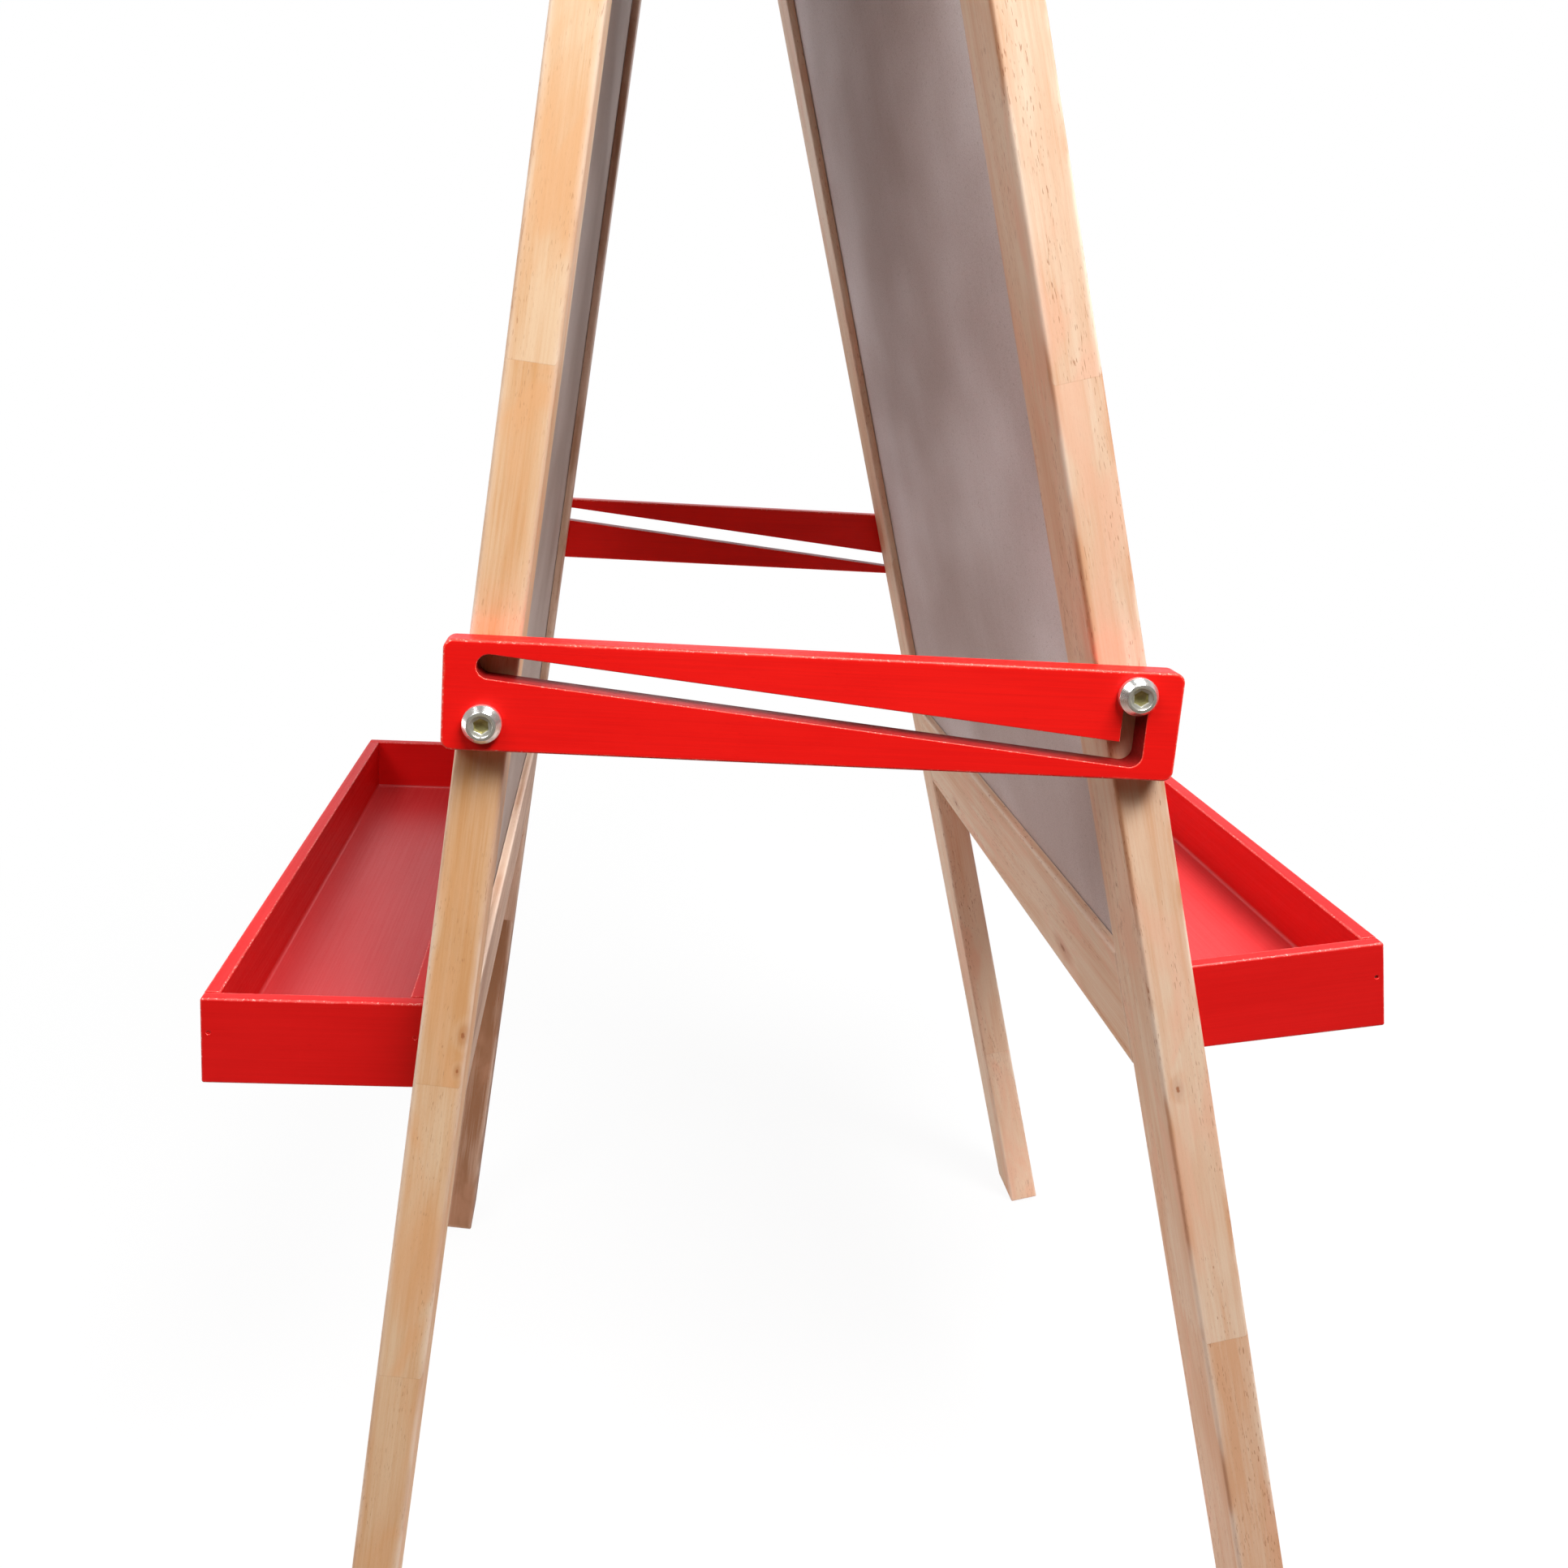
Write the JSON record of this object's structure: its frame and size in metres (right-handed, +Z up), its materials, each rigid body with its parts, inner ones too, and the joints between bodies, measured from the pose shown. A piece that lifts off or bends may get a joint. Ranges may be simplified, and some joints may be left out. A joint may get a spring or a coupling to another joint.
{
  "type": "kids easel",
  "caption": "Folding wooden double-sided easel for children: two hinged frames with boards, two slotted side braces that lock it open, and a pen tray on each outer face.",
  "frame": {"origin": "centre of the bounding box on the floor, midway between the four feet", "axes": "+Z up; +X from the chalkboard frame to the whiteboard frame; +Y across the width, from the near brace to the far brace"},
  "size_m": [0.5226, 0.3978, 1.145],
  "materials": {
    "pine": "clear satin lacquer",
    "tray_red": "red gloss paint",
    "brace_red": "red gloss paint",
    "chalkboard": "matt chalkboard paint on hardboard",
    "whiteboard": "glossy dry-wipe film on hardboard",
    "zinc_steel": "bright zinc plate",
    "hinge_steel": "satin zinc plate",
    "insert_brass": "plain"
  },
  "bodies": {
    "left_frame": {"far_hinge_leaf_left": "hinge_steel", "far_hinge_pin": "hinge_steel", "far_hinge_screw_left_a": "zinc_steel", "far_hinge_screw_left_b": "zinc_steel", "far_pivot_bolt": "zinc_steel", "far_pivot_insert": "insert_brass", "left_board": "chalkboard", "left_bottom_rail": "pine", "left_leg_far": "pine", "left_leg_near": "pine", "left_top_rail": "pine", "left_tray_end_far": "tray_red", "left_tray_end_near": "tray_red", "left_tray_floor": "tray_red", "left_tray_inner": "tray_red", "left_tray_nail_far_inner": "zinc_steel", "left_tray_nail_far_outer": "zinc_steel", "left_tray_nail_near_inner": "zinc_steel", "left_tray_nail_near_outer": "zinc_steel", "left_tray_outer": "tray_red", "left_tray_screw_far": "zinc_steel", "left_tray_screw_near": "zinc_steel", "near_hinge_leaf_left": "hinge_steel", "near_hinge_pin": "hinge_steel", "near_hinge_screw_left_a": "zinc_steel", "near_hinge_screw_left_b": "zinc_steel", "near_pivot_bolt": "zinc_steel", "near_pivot_insert": "insert_brass"},
    "right_frame": {"far_hinge_leaf_right": "hinge_steel", "far_hinge_screw_right_a": "zinc_steel", "far_hinge_screw_right_b": "zinc_steel", "far_lock_insert": "insert_brass", "near_hinge_leaf_right": "hinge_steel", "near_hinge_screw_right_a": "zinc_steel", "near_hinge_screw_right_b": "zinc_steel", "near_lock_insert": "insert_brass", "right_board": "whiteboard", "right_bottom_rail": "pine", "right_leg_far": "pine", "right_leg_near": "pine", "right_top_rail": "pine", "right_tray_end_far": "tray_red", "right_tray_end_near": "tray_red", "right_tray_floor": "tray_red", "right_tray_inner": "tray_red", "right_tray_nail_far_inner": "zinc_steel", "right_tray_nail_far_outer": "zinc_steel", "right_tray_nail_near_inner": "zinc_steel", "right_tray_nail_near_outer": "zinc_steel", "right_tray_outer": "tray_red", "right_tray_screw_far": "zinc_steel", "right_tray_screw_near": "zinc_steel"},
    "near_lock": {"near_lock_bolt": "zinc_steel"},
    "far_lock": {"far_lock_bolt": "zinc_steel"},
    "near_side_brace": {"near_brace": "brace_red"},
    "far_side_brace": {"far_brace": "brace_red"}
  },
  "joints": [
    {"name": "frame_fold", "type": "hinge", "parent": "left_frame", "child": "right_frame", "pos_m": [0, 0, 1.1419], "axis": [0, 1, 0], "range_deg": [0, 20.7]},
    {"name": "near_brace_swing", "type": "hinge", "parent": "left_frame", "child": "near_lock", "pos_m": [-0.12361, -0.1899, 0.53393], "axis": [0, 1, 0], "range_deg": [0, 90.6]},
    {"name": "near_brace_lift", "type": "hinge", "parent": "near_lock", "child": "near_side_brace", "pos_m": [-0.12361, -0.1899, 0.53393], "axis": [0, -1, 0], "range_deg": [0, 5.5]},
    {"name": "far_brace_swing", "type": "hinge", "parent": "left_frame", "child": "far_lock", "pos_m": [-0.12361, 0.1899, 0.53393], "axis": [0, 1, 0], "range_deg": [0, 90.6]},
    {"name": "far_brace_lift", "type": "hinge", "parent": "far_lock", "child": "far_side_brace", "pos_m": [-0.12361, 0.1899, 0.53393], "axis": [0, -1, 0], "range_deg": [0, 5.5]}
  ],
  "couplings": [
    {"joint": "near_brace_swing", "follows": "frame_fold", "ratio": 4.372},
    {"joint": "far_brace_swing", "follows": "frame_fold", "ratio": 4.372}
  ]
}
